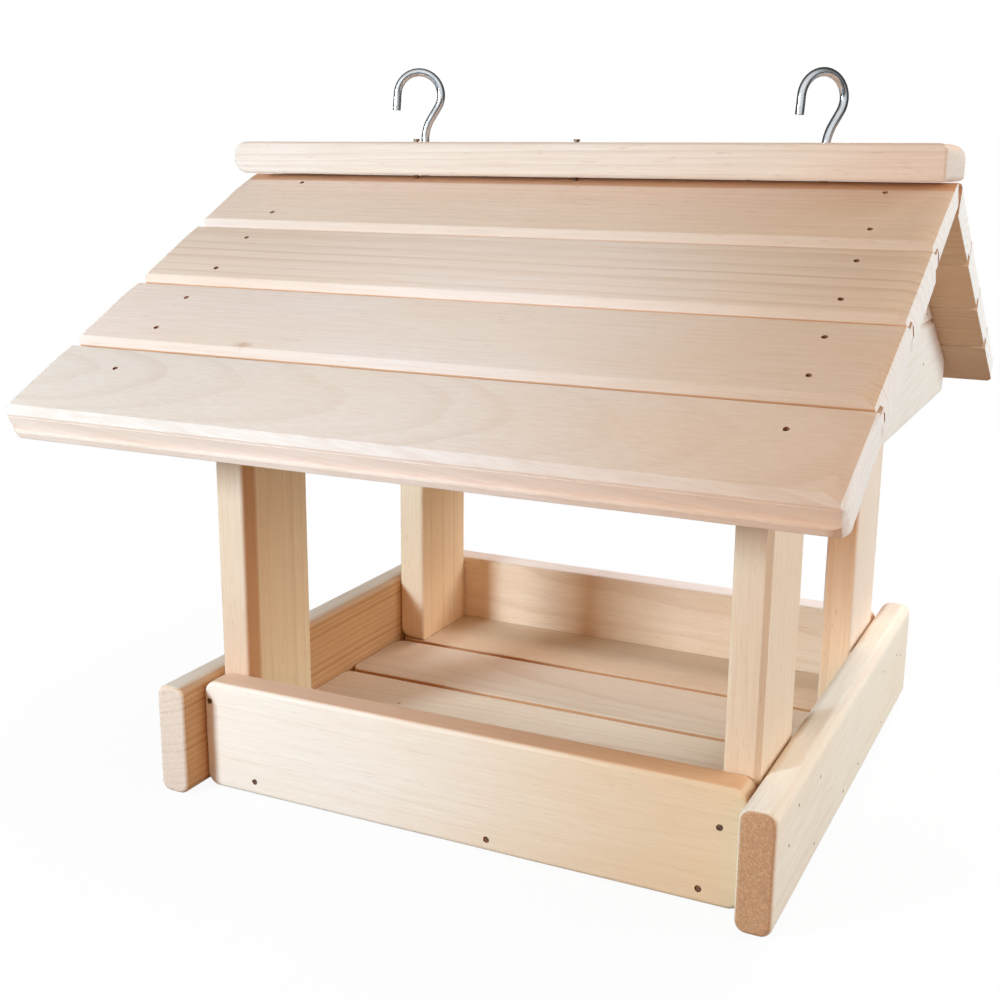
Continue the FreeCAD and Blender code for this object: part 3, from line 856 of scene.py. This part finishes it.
class FEEDER_OT_roof_slats(bpy.types.Operator):
    """Builds the tongued and grooved slats of both slopes, with sanded ends"""

    bl_idname = "feeder.roof_slats"
    bl_label = "Roof slats"

    # Tone is a slat's tone at its left end. Middle and right change it along the slat, as painted light:
    # mostly paler towards the middle, darker and warmer at the right end.
    looks = {
        # Its band along the upper edge is painted shade under the ridge lath.
        "front_1": dict(
            ring=0.0031, pith=(-0.1, -0.03), contrast=0.16, tone=(1.07, 1.15, 1.35),
            band_and_shade=(0.0166, 0.03, 0.75), middle=(1.025, 1.015, 0.985), right=(0.885, 0.82, 0.735)),
        "front_2": dict(
            ring=0.0052, wander=0.0035, pith=(-0.12, -0.05), tilt=(0.006, 0.0), contrast=0.55, fleck=0.12,
            tone=(1.02, 1.06, 1.21), middle=(1.12, 1.22, 1.34), right=(0.82, 0.725, 0.59)),
        "front_3": dict(
            ring=0.0026, pith=(0.14, -0.02), contrast=0.12, facet=0.5, fleck=0.2,
            tone=(0.97, 1.03, 1.24), middle=(1.075, 1.15, 1.19), right=(0.855, 0.755, 0.635),
            mark=(Vector((-0.0795, -0.1205, 0.1849)), 0.0055, 0.0024, 0.5)),
        "front_4": dict(
            ring=0.0042, wander=0.009, pith=(0.003, -0.034), tilt=(0.01, -0.11), contrast=0.17, fleck=0.08,
            tone=(0.885, 0.98, 1.175), middle=(1.12, 1.13, 1.145), right=(0.92, 0.82, 0.705)),
        "back_1": dict(
            ring=0.0035, pith=(0.02, -0.04), tilt=(0.0, 0.07), contrast=0.34, tone=(1.0, 1.02, 1.1)),
        "back_2": dict(pith=(0.1, -0.02), contrast=0.34, tone=(1.02, 1.05, 1.14)),
        "back_3": dict(
            ring=0.0045, pith=(-0.11, -0.04), tilt=(0.008, 0.0), contrast=0.5, tone=(0.98, 1.01, 1.1)),
        "back_4": dict(
            ring=0.0038, wander=0.009, pith=(-0.005, -0.04), tilt=(-0.01, -0.1),
            tone=(0.97, 1.01, 1.12)),
    }
    # Where a slat's tone changes from its left end to its middle, and on to its right end.
    spans = ((-0.13, 0.0), (0.015, 0.14))
    # Painted shade on the chamfers, the undersides and the edges below the chamfers, and painted bounce light
    # on the eave's lower edge.
    chamfer_shade = ((0.89, 0.89, 0.9), (0.91, 0.89, 0.87), (0.91, 0.89, 0.87), (0.93, 0.91, 0.91))
    underside_shade = {"front": (0.88, 0.74, 0.58), "back": (0.83, 0.69, 0.53)}
    gap_shade = (0.82, 0.55, 0.36)
    eave_bounce_light = (1.04, 0.93, 0.88)
    end_grain = dict(end=(1.4, 2.18, 3.5), cells=0.22)
    # Rounding at the upper and the lower end of each sanded end, as shares of the largest one.
    right_ends = {"front": ((0.1, 0.8), (0.35, 0.85), (0.3, 1.0), (0.15, 0.95)),
                  "back": ((0.3, 0.45), (0.45, 0.5), (0.5, 0.5), (0.5, 0.6))}
    left_ends = {"front": ((0.06, 0.12), (0.06, 0.15), (0.06, 0.12), (0.06, 0.12)),
                 "back": ((0.1, 0.5), (0.2, 0.7), (0.1, 0.6), (0.15, 0.8))}
    # Set-back of the upper corners at the left end, as shares of the largest one.
    bows = (0.9, 0.55, 0.55, 0.55)
    loops = (0.01, 0.011)
    seeds = {"front": 40, "back": 50}
    pits = 1.1
    # Chamfer below the lower lip, and flat between the face's chamfer and the groove.
    lip_chamfer, flat = 0.0015, 0.001
    # Room above and below a tongue, and before its tip.
    room, tip_room = 0.0001, 0.0005

    def execute(self, context):
        sizes = context.scene.feeder_sizes
        for side in ("front", "back"):
            for number in range(4):
                self.slat(sizes, side, number)
        return {"FINISHED"}

    def slat(self, sizes, side, number):
        """One slat, drawn flat with Y up the slope and Z out of its face, then laid on its slope."""
        node = "roof_%s_slat_%d" % (side, number + 1)
        low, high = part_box(node)
        half = (high.x - low.x) / 2
        upper = -THICK * math.tan(PITCH) - number * sizes.slat_cover
        lower = upper - sizes.slat_cover
        ease = sizes.slat_ease if number else sizes.slat_arris
        gap = sizes.slat_gap if side == "front" else sizes.back_gap
        groove = sizes.eave_groove if number == 3 else sizes.groove_depth
        bm = self.profile(sizes, half, upper, lower, ease, gap, groove)
        if number:
            self.add_tongue(bm, sizes, half, upper)
        self.sand_ends(bm, sizes, half, upper, lower, number, side)
        make_uneven(bm, (0, 1), self.loops, self.seeds[side] + number)
        lay = Matrix.Translation((0, 0, APEX + THICK / math.cos(PITCH))) @ Matrix.Rotation(PITCH, 4, "X")
        if side == "back":
            lay = Matrix.Rotation(math.pi, 4, "Z") @ lay
        lay = Matrix.Translation(((low.x + high.x) / 2, 0, 0)) @ lay
        bmesh.ops.transform(bm, matrix=lay, verts=bm.verts)
        turn = lay.to_3x3()
        look = dict(self.looks["%s_%d" % (side, number + 1)], **self.end_grain)
        look["faces"] = [(turn @ Vector((0, -1, 1)).normalized(), self.chamfer_shade[number]),
                         (turn @ -Z, self.underside_shade[side]),
                         (turn @ -Y, self.gap_shade if number < 3 else self.eave_bounce_light)]
        tones = (look.pop("middle", WHITE), look.pop("right", WHITE))
        look["fades"] = [span + (factors,) for span, factors in zip(self.spans, tones) if factors != WHITE]
        centre = lay @ Vector((0, (upper + lower) / 2, -THICK / 2))
        material = pine("Pine " + node, centre, 0, PITCH if side == "front" else -PITCH, **look)
        finish_piece(bm, node, material, [pit_tool("roof_nails", self.pits)])

    def profile(self, sizes, half, upper, lower, ease, gap, depth):
        """Slat without its tongue: eased upper edge, chamfered lower edge, groove and lower lip."""
        chamfer, soft = sizes.slat_chamfer, self.lip_chamfer
        face_end, groove = lower + gap, lower + depth
        shelf, lip = -chamfer - self.flat, sizes.lip - THICK
        outline = [(upper - ease, 0), (face_end + chamfer, 0), (face_end, -chamfer), (face_end, shelf),
                   (groove, shelf), (groove, lip), (lower, lip), (lower, soft - THICK),
                   (lower + soft, -THICK), (upper, -THICK), (upper, -ease)]
        bm = extruded([Vector((-half, y, z)) for y, z in outline], Vector((2 * half, 0, 0)))
        round_edges(bm, [edge for edge in bm.edges if along(edge, 0)], sizes.slat_arris, 2)
        return bm

    def upper_faces(self, bm, upper):
        return [face for face in bm.faces if face.normal.y > FLAT
                and abs(face.calc_center_median().y - upper) < NEAR]

    def add_tongue(self, bm, sizes, half, upper):
        """Tongue drawn out of the upper edge, short of the ends."""
        reach = half - sizes.tongue_setback
        bottom, top = sizes.lip - THICK + self.room, -sizes.slat_chamfer - self.flat - self.room
        for point, normal in (((-reach, 0, 0), X), ((reach, 0, 0), X), ((0, 0, bottom), Z), ((0, 0, top), Z)):
            strips = self.upper_faces(bm, upper)
            parts = set(strips)
            for face in strips:
                parts.update(face.edges)
                parts.update(face.verts)
            bmesh.ops.bisect_plane(bm, geom=list(parts), dist=1e-7, plane_co=point, plane_no=normal)
        for face in self.upper_faces(bm, upper):
            centre = face.calc_center_median()
            if abs(centre.x) < reach and bottom < centre.z < top:
                made = bmesh.ops.extrude_face_region(bm, geom=[face])["geom"]
                tip = [item for item in made if isinstance(item, bmesh.types.BMVert)]
                bmesh.ops.translate(bm, vec=Y * (sizes.groove_depth - self.tip_room), verts=tip)
                bmesh.ops.delete(bm, geom=[face], context="FACES_ONLY")
                return
        raise RuntimeError("no place found for a tongue")

    def sand_ends(self, bm, sizes, half, upper, lower, number, side):
        """Ends sanded more towards the lower corner: to two flats at the right, to a round at the left."""
        turned = 1 if side == "front" else -1
        for out, share, radius, cuts in ((turned, self.right_ends[side][number], sizes.slat_corner, 2),
                                         (-turned, self.left_ends[side][number], sizes.left_corner, 4)):
            corner = Vector((out * half, lower, 0))
            sand_arris(bm, Vector((out * half, upper, 0)), corner, Z, X * out,
                       sizes.end_round * share[0], sizes.end_round * share[1], cuts)
            sand_arris(bm, corner - Z * THICK, corner, -Y, X * out, radius, radius)
        self.bow_end(bm, half, upper, lower, -turned, sizes.end_bow * self.bows[number])
        if side == "front" and number in (0, 3):
            out, radius = (-1, sizes.eave_under) if number else (1, sizes.end_under)
            start, stop = (Vector((out * half, y, -THICK)) for y in (upper, lower))
            sand_arris(bm, start, stop, -Z, X * out, radius, radius)

    def bow_end(self, bm, half, upper, lower, out, setback, cuts=4):
        """Sands the upper two thirds of an end to a bow, up to the set-back at the upper corner."""
        start = lower + (upper - lower) / 3
        run = upper - start
        for number in range(cuts):
            share = (number + 0.5) / cuts
            point = Vector((out * (half - setback * share ** 2), start + run * share, 0))
            pare(bm, point, Vector((out, 2 * setback * share / run, 0)))


class FEEDER_OT_ridge_lath(bpy.types.Operator):
    """Builds the ridge lath with its rounded ends, nail pits and hook holes"""

    bl_idname = "feeder.ridge_lath"
    bl_label = "Ridge lath"

    look = dict(ring=0.0027, pith=(0.02, -0.09), tilt=(0.003, 0.004), contrast=0.28,
                tone=(0.94, 1.02, 1.2), end=(1.16, 1.6, 2.35), cells=0.25,
                fades=[(-0.11, 0.13, (1.06, 1.04, 1.0)), (0.08, 0.14, (0.98, 0.92, 0.89))])
    loops = (0.009, 0.009)
    # Rounding of the right end's upper and lower edge, each at the front and at the back.
    upper_round, lower_round = (0.004, 0.0062), (0.0026, 0.0024)
    # Hook holes and their torn mouths: reach below and above the surface, radii at the foot and the top.
    hole, mouth, hole_sides = (0.02, 0.002, (0.0017, 0.0017)), (0.0024, 0.0004, (0.0017, 0.003)), 32
    pit_radii = (0.0009, 0.0012)

    def execute(self, context):
        sizes = context.scene.feeder_sizes
        node = "ridge_board"
        low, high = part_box(node)
        bm = block(low, high)
        round_edges(bm, edges_near(bm, 1, x=low.x), sizes.ridge_nose, 9)
        round_edges(bm, rim_of(bm, 1), sizes.ridge_edge, 4)
        for z, way, radii in ((high.z, Z, self.upper_round), (low.z, -Z, self.lower_round)):
            sand_arris(bm, Vector((high.x, low.y, z)), Vector((high.x, high.y, z)), way, X, *radii, 3)
        holes, mouths, pits = bmesh.new(), bmesh.new(), bmesh.new()
        for joint in frame["joints"]:
            top = Vector((joint["pos_m"][0], joint["pos_m"][1], high.z))
            tool_at(holes, top, -Z, *self.hole, self.hole_sides)
            tool_at(mouths, top, -Z, *self.mouth, self.hole_sides)
        for head, inward in nail_places("ridge_nails"):
            if head.z < high.z:
                tool_at(pits, head, inward, PIT_BELOW, PIT_ABOVE, self.pit_radii, PIT_SIDES)
        complete(bm, node, (0, 1), self.loops, 61, self.look, [holes, mouths, pits])
        return {"FINISHED"}


def give(material, names):
    for node in names:
        frame["nodes"][node].material_slots[0].material = material


class FEEDER_OT_hooks(bpy.types.Operator):
    """Gives the screw hooks their zinc plating"""

    bl_idname = "feeder.hooks"
    bl_label = "Hooks"

    def execute(self, context):
        give(zinc_material(), ("hook_left", "hook_right"))
        return {"FINISHED"}


class FEEDER_OT_nails(bpy.types.Operator):
    """Gives the nails their dull steel"""

    bl_idname = "feeder.nails"
    bl_label = "Nails"

    def execute(self, context):
        give(nail_material(), ("tray_nails", "gable_nails", "roof_nails", "ridge_nails"))
        return {"FINISHED"}


class FEEDER_OT_stage(bpy.types.Operator):
    """Sets the pale floor, the white surroundings, the soft boxes and the camera"""

    bl_idname = "feeder.stage"
    bl_label = "Stage"

    # Half the length and width of the floor below the tray. White would shine through between its slats.
    shaded = (0.12, 0.103)
    # Half the floor's size, and its depth below the tray.
    floor_half, floor_depth = 6.0, 0.0004

    def execute(self, context):
        light = context.scene.feeder_light
        context.scene.view_settings.view_transform = "Standard"
        self.floor()
        self.surroundings(light)
        self.soft_box("Key", Vector((-0.387, -0.671, 0.327)), 0.14, light.key, (0.77, 1.0, 1.17))
        self.soft_box("Side", Vector((1.0, 0.25, 0.45)), 0.6, light.side, (0.79, 1.0, 1.15))
        self.soft_box("Back", Vector((0.2, 1.05, 1.0)), 0.6, light.back, (1.0, 0.88, 0.91))
        self.soft_box("Fill", Vector((0.6, -0.8, 0.4)), 0.5, light.fill, (1.0, 0.4, 0.2))
        for name in ("Side", "Back", "Fill"):
            bpy.data.objects[name].visible_glossy = False
        self.camera()
        return {"FINISHED"}

    def floor(self):
        """Floor that is white to the camera, with a faint shadow near the feeder, and dull to the light."""
        bm = bmesh.new()
        bmesh.ops.create_grid(bm, x_segments=1, y_segments=1, size=self.floor_half)
        bmesh.ops.translate(bm, vec=(0, 0, -self.floor_depth), verts=bm.verts)
        material, nodes, bsdf = shader("Pale floor")
        place = nodes.add("ShaderNodeTexCoord")["Object"]
        far = nodes.step(nodes.length(place), 0.16, 0.4, 0.93, 1.0)
        off = nodes.scaled(nodes.vector("ABSOLUTE", place)[0], (1 / self.shaded[0], 1 / self.shaded[1], 0))
        off = nodes.split(off)
        beside = nodes.step(nodes.math("MAXIMUM", off[0], off[1]), 0.98, 1.0)
        below = nodes.add("ShaderNodeNewGeometry")["Backfacing"]
        far = nodes.times(far, nodes.math("MAXIMUM", beside, below))
        path = nodes.add("ShaderNodeLightPath")
        seen = path["Is Camera Ray"]
        dull = nodes.mix(path["Is Glossy Ray"], (0.34, 0.32, 0.3, 1), (0.16, 0.19, 0.23, 1))
        nodes.feed(bsdf, {"Base Color": nodes.mix(seen, dull, (0.9, 0.9, 0.9, 1)), "Roughness": 0.9})
        white = nodes.add("ShaderNodeEmission", {"Color": (1, 1, 1, 1), "Strength": 1.0})[0]
        mixed = nodes.blend_shaders(nodes.times(seen, far), bsdf.outputs[0], white)
        nodes.feed(material.node_tree.nodes["Material Output"], {0: mixed})
        floor = place_object("floor", as_mesh(bm, "floor", [material]))

    def surroundings(self, light):
        """White behind the feeder, a dim warm room for the wood and a darker one for the zinc."""
        world = bpy.data.worlds.new("White surroundings")
        world.use_nodes = True
        bpy.context.scene.world = world
        nodes = Nodes(world.node_tree)
        base = world.node_tree.nodes["Background"]
        nodes.feed(base, {"Color": (1.0, 0.62, 0.24, 1), "Strength": light.room})
        path = nodes.add("ShaderNodeLightPath")
        front = nodes.dot(nodes.add("ShaderNodeTexCoord")["Generated"], (0.2, -0.93, 0.31))
        dim = nodes.step(front, 0.1, 0.95, 0.07, 1.0)
        grey = nodes.add("ShaderNodeBackground", {"Color": (1, 1, 1, 1), "Strength": dim})[0]
        white = nodes.add("ShaderNodeBackground", {"Color": (1, 1, 1, 1), "Strength": 1.0})[0]
        room = nodes.blend_shaders(path["Is Glossy Ray"], base.outputs[0], grey)
        mixed = nodes.blend_shaders(path["Is Camera Ray"], room, white)
        nodes.feed(world.node_tree.nodes["World Output"], {0: mixed})

    def soft_box(self, name, place, size, power, colour):
        """Square lamp that points at the feeder."""
        lamp = bpy.data.lights.new(name, "AREA")
        lamp.energy = power
        lamp.color = colour
        lamp.size = size
        holder = place_object(name, lamp)
        holder.location = place
        holder.rotation_euler = (LIGHT_AIM - place).to_track_quat("-Z", "Y").to_euler()

    def camera(self):
        """Camera as solved from the photo."""
        lens = bpy.data.cameras.new("Camera")
        lens.lens = 49.69
        lens.sensor_width = 36.0
        lens.clip_start = 0.01
        holder = place_object("Camera", lens)
        right = Vector((0.9003170, 0.4351654, 0.0077737))
        up = Vector((-0.1113583, 0.2130501, 0.9706745))
        back = Vector((0.4207478, -0.8747804, 0.2402719))
        turn = Matrix((right, up, back)).transposed().to_4x4()
        holder.matrix_world = Matrix.Translation((0.222514, -0.531587, 0.252083)) @ turn
        bpy.context.scene.camera = holder


STEPS = (FEEDER_OT_tray_boards, FEEDER_OT_floor_slats, FEEDER_OT_posts, FEEDER_OT_gables,
         FEEDER_OT_roof_slats, FEEDER_OT_ridge_lath, FEEDER_OT_hooks, FEEDER_OT_nails, FEEDER_OT_stage)


class FEEDER_PT_panel(bpy.types.Panel):
    """Lists the feeder's pieces and its main values"""

    bl_label = "Bird feeder"
    bl_space_type = "VIEW_3D"
    bl_region_type = "UI"
    bl_category = "Feeder"

    def draw(self, context):
        for step in STEPS:
            self.layout.operator(step.bl_idname)
        for group in (context.scene.feeder_sizes, context.scene.feeder_finish, context.scene.feeder_light):
            box = self.layout.box()
            for name in group.__annotations__:
                box.prop(group, name)


GROUPS = {"feeder_sizes": FeederSizes, "feeder_finish": FeederFinish, "feeder_light": FeederLight}
CLASSES = tuple(GROUPS.values()) + STEPS + (FEEDER_PT_panel,)


def register():
    for item in CLASSES:
        bpy.utils.register_class(item)
    for name, group in GROUPS.items():
        setattr(bpy.types.Scene, name, PointerProperty(type=group))


def unregister():
    for name in GROUPS:
        delattr(bpy.types.Scene, name)
    for item in reversed(CLASSES):
        bpy.utils.unregister_class(item)


def main():
    register()
    for step in STEPS:
        family, name = step.bl_idname.split(".")
        getattr(getattr(bpy.ops, family), name)()
    bpy.context.view_layer.update()


if __name__ == "__main__":
    main()
